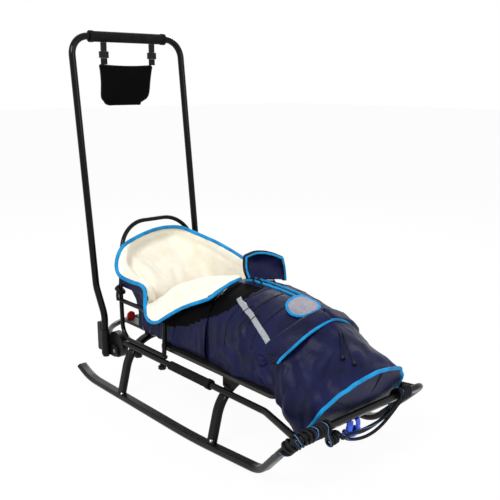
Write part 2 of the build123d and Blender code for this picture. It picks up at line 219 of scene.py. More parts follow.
# Finishes of the soft parts
def wovenNylon(name, shade, light, thread, low, high, sheen, shine):
    # coated woven cloth: faint satin face and soft creases that catch the light; its threads are
    # drawn about a millimetre apart so that they show
    finish, tree, shader = newMaterial(name, Sheen_Weight=sheen, Sheen_Roughness=0.4,
                                       Specular_IOR_Level=shine)
    weave = pattern(tree, "ShaderNodeTexVoronoi", thread, distance="CHEBYCHEV")
    crease = pattern(tree, "ShaderNodeTexNoise", 16.0, Detail=4.0, Distortion=0.8)
    drift = pattern(tree, "ShaderNodeTexNoise", 70.0, Detail=3.0)
    mixedColour(tree, shader, drift.outputs["Fac"], shade, light)
    spread(tree, shader, drift.outputs["Fac"], "Roughness", low, high)
    folds = addNode(tree, "ShaderNodeBump", {"Strength": 0.45, "Distance": 0.0022},
                    {"Height": crease.outputs["Fac"]})
    addBump(tree, shader, weave.outputs["Distance"], 0.00025, 0.5, below=folds)
    return finish


def fleece():
    # sherpa fleece lining: warm cream pile in small curls, bright where it faces the light
    finish, tree, shader = newMaterial("creamSherpaFleece", Roughness=0.95, Sheen_Weight=0.5,
                                       Sheen_Roughness=0.6)
    curls = pattern(tree, "ShaderNodeTexVoronoi", 4.5, feature="SMOOTH_F1")
    pile = pattern(tree, "ShaderNodeTexNoise", 1.8, Detail=4.0)
    drift = pattern(tree, "ShaderNodeTexNoise", 45.0, Detail=4.0)
    mixedColour(tree, shader, drift.outputs["Fac"], "#f1e9d4", "#faf5e6", 0.3, 0.65)
    low = addNode(tree, "ShaderNodeBump", {"Strength": 0.5, "Distance": 0.0014},
                  {"Height": curls.outputs["Distance"]})
    addBump(tree, shader, pile.outputs["Fac"], 0.0006, 0.5, below=low)
    return finish


def ribbedBinding(name, shade, light, rib):
    # woven binding, webbing or braid: a dull satin face with fine ribs, drawn coarse to show
    finish, tree, shader = newMaterial(name, Roughness=0.6, Specular_IOR_Level=0.2)
    ribs = pattern(tree, "ShaderNodeTexVoronoi", rib, distance="MANHATTAN")
    drift = pattern(tree, "ShaderNodeTexNoise", 30.0, Detail=3.0)
    mixedColour(tree, shader, drift.outputs["Fac"], shade, light)
    addBump(tree, shader, ribs.outputs["Distance"], 0.0003, 0.6)
    return finish


def reflectiveTape():
    # glass-bead reflective tape: flat silver grey with a fine honeycomb
    finish, tree, shader = newMaterial("greyReflectiveTape", Roughness=0.42, Metallic=0.25)
    comb = pattern(tree, "ShaderNodeTexVoronoi", 2.4)
    mixedColour(tree, shader, comb.outputs["Distance"], "#84898f", "#a3a7ac", 0.1, 0.7)
    addBump(tree, shader, comb.outputs["Distance"], 0.0001, 0.4)
    return finish


def rubberPatch():
    # soft moulded rubber patch: flat warm grey, slightly mottled
    finish, tree, shader = newMaterial("greyRubberPatch")
    mottle = pattern(tree, "ShaderNodeTexNoise", 6.0, Detail=5.0)
    mixedColour(tree, shader, mottle.outputs["Fac"], "#7d7a86", "#95929d")
    spread(tree, shader, mottle.outputs["Fac"], "Roughness", 0.5, 0.7)
    addBump(tree, shader, mottle.outputs["Fac"], 0.0003, 0.4)
    return finish


coat = powderCoat("glossBlackPowderCoat", "#040405", 0.16, 0.12, 0.20)
satin = powderCoat("satinBlackPowderCoat", "#161314", 0.22, 0.26, 0.38)
foam = closedCellFoam()
nylon = mouldedNylon()
zinc = zincPlate()
slatWood = lacqueredSlat()
redPlastic = glossPlastic("glossRedPlastic", "#b51c1e", "#c92627")
bluePlastic = glossPlastic("glossBluePlastic", "#1f45c8", "#3a66ea")
navy = wovenNylon("coatedNavyNylon", "#080b2a", "#10143e", 1.1, 0.40, 0.56, 0.02, 0.14)
# black polyester of the pouch, also used as painted shade under the footmuff's near rim
blackClothAndPaintedShade = wovenNylon("blackPolyesterAndPaintedShade", "#030304", "#060607", 1.0, 0.6, 0.8, 0.0, 0.04)
cream = fleece()
azure = ribbedBinding("azureBinding", "#0a76b0", "#1193d2", 1.6)
webbing = ribbedBinding("blackWebbing", "#040405", "#0a0a0c", 1.5)
tape = reflectiveTape()
patch = rubberPatch()
braid = ribbedBinding("blackBraidedCord", "#040507", "#0d0e12", 1.3)
tracer = ribbedBinding("lightBlueTracerThread", "#3f74b4", "#6a9ed6", 1.3)

finishes = {
    "runner": satin, "runner_plug": nylon, "bumper": satin, "rail_foam": foam, "rail_knob": nylon,
    "seat_slat": slatWood, "slat_spacer": nylon, "slat_tab": redPlastic, "handle_bracket": nylon,
    "handle_socket": nylon, "pivot_pin": zinc, "latch_lever": nylon, "handle_grip": foam,
    "pouch_hook": nylon, "pouch_buckle": nylon, "pouch_strap": webbing,
}
for name, part in nodes.items():
    fitting = [key for key in finishes if name.startswith(key)]
    part.data.materials.clear()
    part.data.materials.append(finishes[max(fitting, key=len)] if fitting else coat)
print("finishes ready")


# Shape helpers
def smoothRow(points, steps, closed=False):
    # a smooth curve through given points
    count = len(points)
    row = []
    for i in range(count if closed else count - 1):
        around = [(i + k) % count if closed else min(max(i + k, 0), count - 1) for k in (-1, 0, 1, 2)]
        a, b, c, d = (points[k] for k in around)
        for step in range(steps):
            t = step / steps
            row.append(0.5 * (2 * b + (c - a) * t + (2 * a - 5 * b + 4 * c - d) * t ** 2
                              + (3 * b - a - 3 * c + d) * t ** 3))
    if not closed:
        row.append(points[-1].copy())
    return row


def smoothGrid(rows, along, across, closed=False):
    # a surface through a few given rows
    columns = [smoothRow([row[k] for row in rows], along) for k in range(len(rows[0]))]
    return [smoothRow([column[k] for column in columns], across, closed) for k in range(len(columns[0]))]


def gridFaces(rows, width, closed=False):
    # quads between the points of neighbouring rows
    faces = []
    for i in range(rows - 1):
        for j in range(width if closed else width - 1):
            k = (j + 1) % width
            a, b = i * width, (i + 1) * width
            faces.append((a + j, a + k, b + k, b + j))
    return faces


def addPiece(name, points, faces, finish, body="sled", slot=None, turned=False):
    # a smooth mesh piece that rides on a body
    mesh = bpy.data.meshes.new(name)
    mesh.from_pydata([tuple(p) for p in points], [], [f[::-1] for f in faces] if turned else faces)
    mesh.shade_smooth()
    mesh.materials.append(finish)
    piece = bpy.data.objects.new(name, mesh)
    bpy.context.scene.collection.objects.link(piece)
    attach(piece, body)
    return piece


def addGrid(name, rows, finish, closed=False, **facts):
    # a piece whose points lie in rows
    points = [p for row in rows for p in row]
    return addPiece(name, points, gridFaces(len(rows), len(rows[0]), closed), finish, **facts)


def addTube(name, line, radius, finish, sides=12, squeeze=1.0, closed=False, **facts):
    # a tube along a line; squeeze flattens it across its second direction
    count = len(line)
    rings = []
    side = None
    for i, p in enumerate(line):
        ahead = line[(i + 1) % count] if closed or i < count - 1 else p
        behind = line[i - 1] if closed or i else p
        way = (ahead - behind).normalized()
        if side is None:
            side = way.cross(Vector((0, 0, 1)) if abs(way.z) < 0.9 else Vector((0, 1, 0)))
        side = (side - way * side.dot(way)).normalized()
        up = way.cross(side)
        angles = [2 * math.pi * k / sides for k in range(sides)]
        rings.append([p + (side * math.cos(a) + up * math.sin(a) * squeeze) * radius * mm for a in angles])
    points = [p for ring in rings for p in ring]
    faces = gridFaces(count, sides, True)
    if closed:
        last = (count - 1) * sides
        faces += [(last + j, last + (j + 1) % sides, (j + 1) % sides, j) for j in range(sides)]
    else:
        faces += [tuple(range(sides))[::-1], tuple((count - 1) * sides + j for j in range(sides))]
    return addPiece(name, points, faces, finish, **facts)


def moveAlongNormals(piece, amount):
    # vertex moves that stand for stuffing, sag and creases
    moves = [amount(v.co) * mm for v in piece.data.vertices]
    normals = [v.normal.copy() for v in piece.data.vertices]
    for vertex, normal, move in zip(piece.data.vertices, normals, moves):
        vertex.co += normal * move


def thicken(piece, thickness, offset=-1.0):
    # a real thickness for a single sheet
    shell = piece.modifiers.new("clothThickness", "SOLIDIFY")
    shell.thickness = thickness * mm
    shell.offset = offset


def wave(p, sizeX, sizeY, sizeZ, shift=0.0):
    # soft noise with its own length in each direction, in millimetres
    x, y, z = p.x / (sizeX * mm), p.y / (sizeY * mm), p.z / (sizeZ * mm)
    return softNoise(Vector((x + shift, y - shift, z + 2 * shift)))


def ridge(p, sizeX, sizeY, sizeZ, shift, sharpness=2.4):
    # narrow raised folds with hollows between them, from the same noise
    return 1 - abs(wave(p, sizeX, sizeY, sizeZ, shift)) * sharpness


# Tow rope: one limp braided cord, wound round the bumper's right corner, knotted, laid along the
# bumper three times and tied at its left end
rope = {
    "diameter": 7.5,
    "sides": 20,
    "tracerStep": 14.0,                   # how far a tracer thread runs before it moves one face on
    "corner": (698.0, -226.0, 150.0),     # where the runner's rise meets the bumper's centre line
    "riseWay": (0.689, -0.185, 0.701),
    "faceWay": (0.713, 0.0, -0.701),      # out of the bumper's flat side, forward and down
    "cornerRadius": 45.0,
    "bow": 6.0,                           # how far the bumper's middle lies forward and up
    "halfWide": 19.6,                     # from the bumper's centre line to the rope's middle
    "halfThin": 12.6,
    "perTurn": 12,                        # points of the route in one turn
    # turns round the corner, with two waves that make them uneven: how strong, and how fast
    "wrapNear": 38.0,                     # how far down the rise the turns start
    "wrapEndY": -140.0,
    "turns": 11,
    "looseness": 1.02,
    "uneven": ((0.035, 2.1), (0.03, 0.37)),
    # knot: turns round a line across the sled
    "knotPlace": (703.5, -108.0, 124.0),
    "knotRadius": 11.5,
    "knotHalfLength": 14.0,
    "knotTurns": 3,
    "knotStart": 1.6,                     # radians round from the top
    "knotUneven": (0.12, 0.7),
    "knotExit": (9.0, 24.0, -6.0),
    # strands that hang along the bumper: height and forward place of the middle of each
    "strands": ((113.0, 709.0), (103.0, 701.0), (91.0, 707.0)),
    "strandYs": (-70.0, -32.0, 6.0, 44.0, 80.0),
    "strandStart": (-100.0, 124.0),       # y and z at the knot
    "strandEnd": (112.0, 136.0),          # y and z at the left end
    "strandBack": 3.0,                    # how far a strand leans back towards the left end
    # turns round the bumper between the strands: y, travel along it and how many
    "leftTurn": (96.0, 7.0, 0.75),
    "rightTurn": (-130.0, 4.0, 0.75),
    "tie": (108.0, 30.0, 4),
    "throughKnot": ((2.0, 20.0, 0.0), (0.0, 0.0, 0.0), (-3.0, -16.0, 0.0)),
    "backThrough": (6.0, 2.0, 5.0),
}


def bumperCorner(r):
    # the rise's direction, how far it turns into the bumper and how far before the corner it starts
    rise = Vector(r["riseWay"]).normalized()
    turn = rise.angle(Vector((0, 1, 0)))
    return rise, turn, r["cornerRadius"] * math.tan(turn / 2)


def bumperPoint(r, along):
    # a point of the bumper's centre line and its direction, at a distance from where the turns start
    rise, turn, setback = bumperCorner(r)
    level = Vector((0, 1, 0))
    straight = r["wrapNear"] - setback
    corner = Vector(r["corner"])
    if along < straight:
        return corner - rise * (r["wrapNear"] - along), rise
    bend = r["cornerRadius"] * turn
    if along < straight + bend:
        angle = (along - straight) / r["cornerRadius"]
        inward = (level - rise * level.dot(rise)).normalized()
        start = corner - rise * setback
        place = start + (rise * math.sin(angle) + inward * (1 - math.cos(angle))) * r["cornerRadius"]
        return place, rise * math.cos(angle) + inward * math.sin(angle)
    across = setback + along - straight - bend
    lift = r["bow"] * across / -r["corner"][1]
    return corner + level * across + Vector((lift, 0, lift)), level


def bumperAlong(r, y):
    # how far along the centre line a place on the bumper's straight part lies
    _, turn, setback = bumperCorner(r)
    return r["wrapNear"] - setback + r["cornerRadius"] * turn + (y - r["corner"][1] - setback)


def roundBumper(r, along, angle, grow=1.0):
    # a place on the loop that the rope makes round the bumper's flat-oval section
    place, way = bumperPoint(r, along)
    face = Vector(r["faceWay"])
    wide = face.cross(way)
    return place + (wide * math.cos(angle) * r["halfWide"] + face * math.sin(angle) * r["halfThin"]) * grow


def bumperTurn(r, y, travel, turns):
    # turns round the bumper that go up its front and down its back
    start = bumperAlong(r, y)
    steps = int(turns * r["perTurn"])
    return [roundBumper(r, start + travel * k / steps, 2 * math.pi * (0.25 - k / r["perTurn"]))
            for k in range(steps + 1)]


def cornerTurns(r):
    # loose turns from the rise, round the corner and along the bumper
    total = bumperAlong(r, r["wrapEndY"])
    steps = r["turns"] * r["perTurn"]
    points = []
    for k in range(steps + 3):
        grow = sum((size * math.sin(pace * k) for size, pace in r["uneven"]), 1.0) * r["looseness"]
        points.append(roundBumper(r, total * k / steps, 2 * math.pi * k / r["perTurn"], grow))
    return points


def knotTurns(r, knot):
    # a lump of turns, and the place where the rope comes out of it
    size, pace = r["knotUneven"]
    half = r["knotHalfLength"]
    steps = r["knotTurns"] * r["perTurn"]
    points = []
    for k in range(steps + 1):
        angle = 2 * math.pi * k / r["perTurn"] + r["knotStart"]
        grow = 1 + size * math.sin(pace * k)
        out = Vector((math.sin(angle), 0, math.cos(angle))) * r["knotRadius"] * grow
        points.append(knot + out + Vector((0, -half + 2 * half * k / steps, 0)))
    return points + [knot + Vector(r["knotExit"])]


def strandPoints(r, drop, forward):
    # one slack run along the bumper, from the knot to the left end
    (startY, startZ), (endY, endZ) = r["strandStart"], r["strandEnd"]
    points = []
    for y in r["strandYs"]:
        share = (y - startY) / (endY - startY)
        sag = 4 * share * (1 - share)
        straight = startZ + (endZ - startZ) * share
        points.append(Vector((forward - r["strandBack"] * share, y, straight - (straight - drop) * sag)))
    return points


def ropeRoute(r):
    knot = Vector(r["knotPlace"])
    first, second, third = (strandPoints(r, drop, forward) for drop, forward in r["strands"])
    through = [knot + Vector(place) for place in r["throughKnot"]]
    back = [place + Vector(r["backThrough"]) for place in reversed(through)]
    points = cornerTurns(r) + knotTurns(r, knot)
    points += first + bumperTurn(r, *r["leftTurn"])
    points += second[::-1] + through + bumperTurn(r, *r["rightTurn"]) + back
    points += third + bumperTurn(r, *r["tie"])
    return [at(*p) for p in points]


def splineThrough(name, points):
    # the cord's own line: a smooth NURBS spline with these control points
    curve = bpy.data.curves.new(name, "CURVE")
    curve.dimensions = "3D"
    curve.resolution_u = 4
    spline = curve.splines.new("NURBS")
    spline.points.add(len(points) - 1)
    for point, place in zip(spline.points, points):
        point.co = (*place, 1)
    spline.order_u = 3
    spline.use_endpoint_u = True
    return bpy.data.objects.new(name, curve)


def lineOf(curve):
    # points read along a curve
    mesh = bpy.data.meshes.new_from_object(curve)
    return [v.co.copy() for v in mesh.vertices]


def lengthOf(line):
    return sum((b - a).length for a, b in zip(line, line[1:]))


def addTowRope(r):
    line = lineOf(splineThrough("towRopeLine", ropeRoute(r)))
    piece = addTube("towRope", line, r["diameter"] / 2, braid, sides=r["sides"], slot="rope_black")
    piece.data.materials.append(tracer)
    # a light blue tracer thread runs along the braid in a long twist, one face wide
    travelled = 0.0
    for i in range(len(line) - 1):
        travelled += (line[i + 1] - line[i]).length
        twist = int(travelled / (r["tracerStep"] * mm)) % r["sides"]
        piece.data.polygons[i * r["sides"] + twist].material_index = 1
    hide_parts("tow_rope_hank")
    print("tow rope:", round(lengthOf(line), 3), "m")


addTowRope(rope)


# Footmuff's leg bag: a stuffed tube over the child's legs, then a loose sack down to the toe
legBag = {
    # bottom x and z, ridge x and z, half width, height where the side turns over, how pointed
    # the top is, and how far the ridge lies to the right
    "stations": (
        (286, 179, 296, 368, 126, 262, 1.15, 0), (364, 179, 368, 373, 133, 270, 1.1, 0),
        (450, 179, 452, 368, 134, 268, 1.2, 0), (512, 179, 534, 358, 134, 254, 1.25, 4),
        (546, 175, 592, 342, 138, 240, 1.35, 10), (566, 160, 622, 324, 142, 218, 1.3, 12),
        (590, 140, 656, 308, 144, 196, 1.25, 14), (617, 121, 704, 286, 145, 174, 1.1, 16),
        (641, 107, 746, 262, 143, 152, 0.95, 18),
    ),
    # a side wall as shares of the half width and of the side's height, and the sole between them
    "wall": ((0.93, 0.0), (1.0, 0.12), (1.02, 0.5), (1.0, 1.0)),
    "sole": ((0.4, -0.004), (-0.4, -0.004)),
    "crown": 8,
    "along": 16,
    "around": 7,
    # stuffing and creases, in millimetres of move along the skin's normal
    "swell": 3.0,
    "crease": (1.2, 2.6),                 # everywhere, and added low on the sides
    "creaseBelow": (330.0, 110.0),        # height where the added creases start, and their fade
    "slack": 3.2,
    "slackFrom": (560.0, 60.0),           # x where the sack's slack starts, and its fade
    "wrinkle": 0.6,
    "sink": 1.5,
    # toe panel
    "toeDome": 13.0,
    "toeRings": 13,
    "toeSwell": 1.6,
    "toeCalm": 20.0,                      # how far from its middle the swell is at its full
    "toeBinding": 4.3,
    "toeSeams": (("right", 0.27), ("left", 0.43)),
    "seamRings": 8,
    "seamLift": 0.6,
    "seamRadius": 0.9,
}


def bagRing(b, bottomX, bottomZ, ridgeX, ridgeZ, half, sideZ, point, lean):
    # control points of one closed section, from the near lower corner over the ridge and back below
    wide, tall = ridgeX - bottomX, ridgeZ - bottomZ
    side = (sideZ - bottomZ) / tall
    wall = [(w, h * side) for w, h in b["wall"]]
    shape = [(-w, h) for w, h in wall]
    for k in range(1, b["crown"]):
        angle = math.pi * k / b["crown"]
        across = -math.copysign(abs(math.cos(angle)) ** point, math.cos(angle))
        shape.append((across - lean / half * math.sin(angle), side + (1 - side) * math.sin(angle) ** point))
    shape += [*wall[::-1], *b["sole"]]
    return [at(bottomX + wide * h, half * w, bottomZ + tall * h) for w, h in shape]


# pinched folds: from, to, how deep and how wide
bagFolds = (
    ((500, -134, 236), (548, -138, 186), 7.0, 10.0), ((556, -136, 250), (566, -140, 170), 7.0, 9.0),
    ((480, -134, 214), (546, -136, 196), 4.0, 9.0), ((574, -136, 256), (606, -142, 150), 6.0, 13.0),
    ((585, -132, 236), (640, -134, 170), 4.0, 12.0), ((600, -120, 286), (650, -128, 210), 4.5, 13.0),
    ((420, -120, 330), (446, -135, 230), 3.5, 10.0), ((330, -112, 345), (350, -134, 200), 4.0, 10.0),
    ((470, -96, 340), (520, -118, 318), 3.0, 8.0), ((380, -40, 372), (420, -100, 350), 3.0, 9.0),
    ((640, -40, 315), (700, -110, 238), 3.5, 15.0), ((630, 30, 318), (700, 20, 292), 3.5, 14.0),
    ((390, -134, 262), (455, -135, 244), 3.0, 9.0), ((340, -134, 240), (420, -135, 210), 3.0, 10.0),
    ((420, 120, 330), (446, 135, 230), 3.5, 10.0), ((560, 132, 240), (600, 134, 150), 5.0, 12.0),
    ((520, 134, 256), (548, 136, 186), 5.0, 10.0), ((600, 110, 270), (650, 128, 200), 4.0, 13.0),
)


def foldDepth(p, folds):
    # how far the skin is pulled in by the folds near a place: each is a groove with a low ridge
    # beside it that fades towards its ends
    deep = 0.0
    for start, end, depth, width in folds:
        a, b = at(*start), at(*end)
        along = min(1.0, max(0.0, (p - a).dot(b - a) / (b - a).length_squared))
        away = (p - a.lerp(b, along)).length / (width * mm)
        groove = math.exp(-away ** 2) - 0.45 * math.exp(-(away - 1.9) ** 2)
        deep += depth * groove * math.sin(math.pi * (0.12 + 0.76 * along))
    return deep


def bagCreases(b, p):
    # soft stuffing, creases across the bag that deepen towards its low sides, and slack in the sack
    creaseZ, creaseFade = b["creaseBelow"]
    slackX, slackFade = b["slackFrom"]
    calm, added = b["crease"]
    low = min(1.0, max(0.0, (creaseZ - p.z / mm) / creaseFade))
    front = min(1.0, max(0.0, ((p.x - sledZero) / mm - slackX) / slackFade))
    stuffing = b["swell"] * wave(p, 95, 80, 80)
    crosswise = ridge(p, 34, 90, 75, 3.1) * (calm + added * low)
    slack = ridge(p, 80, 30, 60, 8.7, 2.2) * b["slack"] * front
    wrinkles = b["wrinkle"] * wave(p, 14, 14, 14, 5.0)
    return stuffing + crosswise + slack + wrinkles - b["sink"] - foldDepth(p, bagFolds)


def addLegBag(b):
    rings = [bagRing(b, *station) for station in b["stations"]]
    rows = smoothGrid(rings, b["along"], b["around"], closed=True)
    bag = addGrid("footmuffLegBag", rows, navy, closed=True, slot="navy_nylon")
    moveAlongNormals(bag, lambda p: bagCreases(b, p))
    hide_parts("footmuff_leg_bag")
    # toe panel: rings that shrink to a domed middle inside the bag's last row
    toe = [v.co.copy() for v in bag.data.vertices[-len(rows[0]):]]
    middle = sum(toe, Vector()) / len(toe)
    bottomX, bottomZ, ridgeX, ridgeZ = b["stations"][-1][:4]
    face = Vector((ridgeZ - bottomZ, 0, bottomX - ridgeX)).normalized()
    panel = []
    for k in range(b["toeRings"]):
        share = k / b["toeRings"]
        dome = face * b["toeDome"] * mm * (1 - (1 - share) ** 2)
        panel.append([middle + (p - middle) * (1 - share) + dome for p in toe])
    panel.append([middle + face * b["toeDome"] * mm] * len(toe))
    front = addGrid("footmuffToePanel", panel, navy, closed=True, slot="navy_nylon")
    calm = b["toeCalm"] * mm
    moveAlongNormals(front, lambda p: b["toeSwell"] * wave(p, 60, 45, 45, 2.0)
                     * min(1.0, (p - middle).length / calm))
    addTube("toePanelBinding", toe, b["toeBinding"], azure, closed=True, slot="navy_nylon")
    # seams that shape the toe panel, sewn with a raised cord
    for name, share in b["toeSeams"]:
        seam = [row[int(len(row) * share)] + face * b["seamLift"] * mm for row in panel[:b["seamRings"]]]
        addTube("toePanelSeam_" + name, smoothRow(seam, 3), b["seamRadius"], webbing, sides=6,
                slot="navy_nylon")
    return bag


legBagPiece = addLegBag(legBag)
bagSkin = BVHTree.FromPolygons([v.co for v in legBagPiece.data.vertices],
                               [tuple(f.vertices) for f in legBagPiece.data.polygons])


def onBag(point, lift):
    # the nearest place on the bag's skin, lifted off it by millimetres
    place, normal, _, _ = bagSkin.find_nearest(point)
    outward = normal if normal.z > -0.2 or normal.y * place.y > 0 else -normal
    return place + outward * lift * mm


def aboveBag(x, y, lift):
    # the place on the bag's skin straight below a point over it, lifted off by millimetres
    clear = 420.0
    place, normal, _, _ = bagSkin.ray_cast(at(x, y, clear), Vector((0, 0, -1)))
    if place is None:
        return None
    return place + (normal if normal.z > 0 else -normal) * lift * mm


print("leg bag ready")


# Seat part of the footmuff: lining and outer shell share one rim, which the binding covers
seatTub = {
    # lining ribs, each from the rim over its crest and down inside to the seat's edge, which is
    # given by x and y alone
    "lining": (
        ((307, -22, 375), (307, -24, 379), (307, -27, 380), (300, -72, 352), (300, -120, 262), (300, -96)),
        ((303, -55, 366), (296, -44, 376), (285, -34, 379), (286, -74, 350), (288, -120, 262), (288, -96)),
        ((302, -90, 352), (274, -68, 370), (240, -46, 372), (250, -78, 346), (265, -121, 262), (265, -96)),
        ((296, -118, 338), (252, -90, 358), (200, -58, 362), (212, -82, 340), (236, -121, 262), (236, -96)),
        ((262, -131, 322), (218, -106, 346), (164, -72, 349), (180, -86, 328), (206, -121, 260), (206, -96)),
        ((225, -141, 304), (184, -120, 330), (132, -82, 335), (150, -90, 314), (178, -121, 256), (178, -96)),
        ((196, -150, 286), (160, -134, 312), (111, -90, 320), (128, -95, 300), (152, -121, 252), (152, -96)),
        ((168, -160, 266), (138, -147, 296), (94, -98, 304), (108, -101, 286), (128, -121, 246), (128, -96)),
        ((143, -165, 250), (116, -153, 285), (79, -103, 290), (90, -105, 272), (105, -121, 240), (105, -96)),
        ((112, -166, 245), (94, -155, 282), (62, -107, 272), (72, -108, 258), (84, -120, 234), (84, -95)),
        ((90, -163, 256), (78, -152, 284), (48, -110, 256), (54, -110, 244), (66, -118, 226), (66, -94)),
        ((82, -160, 282), (68, -146, 288), (42, -113, 250), (40, -112, 238), (48, -117, 222), (48, -92)),
        ((81, -158, 306), (72, -142, 306), (56, -113, 282), (38, -112, 262), (30, -116, 232), (34, -90)),
        ((74, -156, 322), (70, -142, 326), (62, -120, 314), (30, -112, 290), (16, -115, 240), (22, -88)),
        ((52, -153, 328), (50, -142, 336), (46, -126, 330), (18, -114, 306), (18, -114, 246), (22, -84)),
        ((18, -151, 326), (18, -141, 335), (16, -126, 334), (-4, -114, 314), (10, -112, 254), (16, -78)),
        ((-20, -150, 326), (-20, -140, 336), (-22, -124, 338), (-30, -112, 322), (6, -108, 266), (14, -70)),
        ((-52, -152, 332), (-49, -142, 342), (-44, -125, 348), (-50, -108, 332), (2, -102, 280), (14, -62)),
        ((-68, -152, 350), (-62, -143, 358), (-54, -127, 361), (-66, -105, 343), (0, -92, 290), (14, -54)),
        ((-75, -144, 377), (-70, -136, 381), (-59, -124, 378), (-75, -98, 358), (0, -80, 296), (14, -44)),
        ((-76, -127, 404), (-73, -122, 406), (-68, -110, 400), (-84, -85, 374), (0, -62, 298), (14, -34)),
        ((-85, -91, 418), (-86, -87, 418), (-88, -81, 410), (-104, -58, 380), (0, -42, 300), (14, -24)),
        ((-95, -36, 430), (-97, -35, 429), (-101, -33, 420), (-109, -26, 386), (0, -18, 300), (14, -12)),
        ((-95, 10, 437), (-97, 10, 436), (-102, 9, 427), (-110, 8, 390), (0, 8, 300), (14, 6)),
        ((-92, 50, 437), (-94, 49, 436), (-99, 46, 427), (-108, 40, 390), (0, 34, 300), (14, 20)),
        ((-78, 80, 433), (-81, 79, 432), (-88, 76, 423), (-100, 70, 388), (0, 58, 298), (14, 34)),
        ((-52, 106, 419), (-55, 104, 418), (-62, 100, 409), (-80, 92, 378), (2, 80, 294), (16, 50)),
        ((-12, 121, 407), (-15, 119, 406), (-20, 114, 398), (-42, 108, 366), (6, 98, 284), (18, 66)),
        ((20, 127, 400), (19, 124, 399), (16, 118, 391), (2, 114, 358), (20, 112, 272), (26, 84)),
        ((62, 128, 392), (62, 125, 391), (60, 118, 382), (50, 116, 350), (44, 120, 262), (44, 94)),
        ((110, 127, 382), (110, 124, 381), (110, 117, 372), (108, 116, 344), (105, 121, 262), (105, 96)),
        ((152, 124, 374), (152, 121, 373), (153, 115, 364), (156, 115, 340), (158, 121, 262), (158, 96)),
        ((202, 116, 367), (202, 113, 366), (203, 108, 357), (206, 110, 336), (208, 121, 262), (208, 96)),
        ((256, 107, 360), (256, 104, 359), (256, 100, 350), (257, 104, 332), (257, 121, 262), (257, 96)),
        ((302, 98, 353), (302, 95, 352), (302, 92, 343), (302, 100, 326), (302, 121, 262), (302, 96)),
    ),
    # outer shell at each rib: below the rim, upper wall, lower wall, and bottom edge by x and y alone
    "shell": (
        ((304, -30, 370), (300, -96, 340), (300, -131, 268), (300, -124)),
        ((298, -52, 362), (292, -104, 330), (290, -132, 266), (290, -125)),
        ((276, -78, 356), (268, -116, 318), (270, -132, 262), (270, -125)),
        ((252, -104, 336), (246, -124, 304), (246, -132, 258), (246, -125)),
        ((220, -117, 320), (218, -129, 289), (218, -132, 250), (218, -125)),
        ((188, -130, 301), (188, -132, 275), (188, -133, 244), (188, -125)),
        ((163, -141, 286), (162, -136, 266), (162, -133, 240), (162, -125)),
        ((140, -150, 273), (138, -141, 258), (138, -133, 236), (138, -125)),
        ((117, -155, 268), (114, -141, 257), (114, -133, 234), (114, -125)),
        ((94, -156, 266), (92, -141, 256), (92, -133, 234), (92, -125)),
        ((79, -154, 269), (74, -141, 257), (74, -133, 234), (74, -125)),
        ((70, -150, 280), (58, -138, 264), (58, -132, 234), (58, -124)),
        ((74, -146, 292), (42, -137, 272), (42, -131, 236), (42, -123)),
        ((70, -150, 303), (30, -137, 286), (28, -130, 238), (28, -122)),
        ((50, -150, 303), (20, -136, 292), (16, -130, 240), (16, -121)),
        ((18, -149, 300), (4, -134, 292), (4, -129, 242), (6, -120)),
        ((-20, -148, 299), (-16, -134, 292), (-4, -128, 244), (-2, -117)),
        ((-54, -148, 302), (-38, -132, 294), (-8, -124, 248), (-6, -112)),
        ((-52, -138, 318), (-50, -128, 298), (-10, -118, 254), (-8, -102)),
        ((-62, -126, 344), (-66, -120, 304), (-11, -110, 260), (-8, -88)),
        ((-82, -114, 376), (-88, -104, 316), (-12, -92, 268), (-8, -72)),
        ((-112, -84, 398), (-106, -80, 330), (-12, -70, 272), (-8, -54)),
        ((-118, -36, 412), (-114, -34, 340), (-12, -32, 275), (-8, -26)),
        ((-119, 10, 418), (-115, 8, 342), (-12, 8, 275), (-8, 6)),
        ((-117, 52, 418), (-112, 48, 340), (-12, 44, 275), (-8, 34)),
        ((-106, 86, 412), (-102, 80, 334), (-12, 72, 272), (-8, 56)),
        ((-78, 116, 396), (-78, 110, 326), (-12, 98, 266), (-8, 78)),
        ((-24, 130, 382), (-34, 128, 316), (-8, 122, 254), (-6, 104)),
        ((18, 134, 374), (10, 134, 308), (8, 130, 244), (8, 120)),
        ((62, 135, 364), (58, 135, 300), (54, 132, 240), (54, 124)),
        ((110, 134, 354), (108, 135, 296), (106, 132, 238), (106, 125)),
        ((154, 132, 346), (156, 135, 292), (156, 132, 238), (156, 125)),
        ((204, 128, 338), (206, 134, 290), (206, 132, 238), (206, 125)),
        ((257, 124, 330), (257, 133, 290), (257, 132, 238), (257, 125)),
        ((303, 118, 326), (303, 132, 290), (303, 131, 238), (303, 124)),
    ),
    "along": 6,
    "across": 10,
    "seatZ": 190,
    "seatEdgeZ": 194,
    "bottomZ": 181,
    # shell's stuffing: swell, crease, height where they start with their fade, and how far it sinks
    "swell": 2.6,
    "crease": 2.4,
    "stuffedBelow": (300.0, 60.0),
    "sink": 2.0,
    "liningSwell": 3.0,
    # painted shade below the near rim, black cloth where the rim's shadow falls: x and z of its lower edge,
    # and how far in it reaches
    "paintedShadeEdge": (
        (100, 226), (150, 232), (231, 255), (293, 288), (330, 304), (365, 324), (385, 350), (400, 384),
    ),
    "paintedShadeY": -25.0,
    "tapeRibs": 4,
    "tapeInset": (0, 4, 2),
    "tape": 5.0,
    "binding": 5.6,
    # fleece sleeve inside the leg bag's first stations
    "tunnelStations": 4,
    "tunnelWall": 12.0,
    "tunnelSwell": 2.0,
}


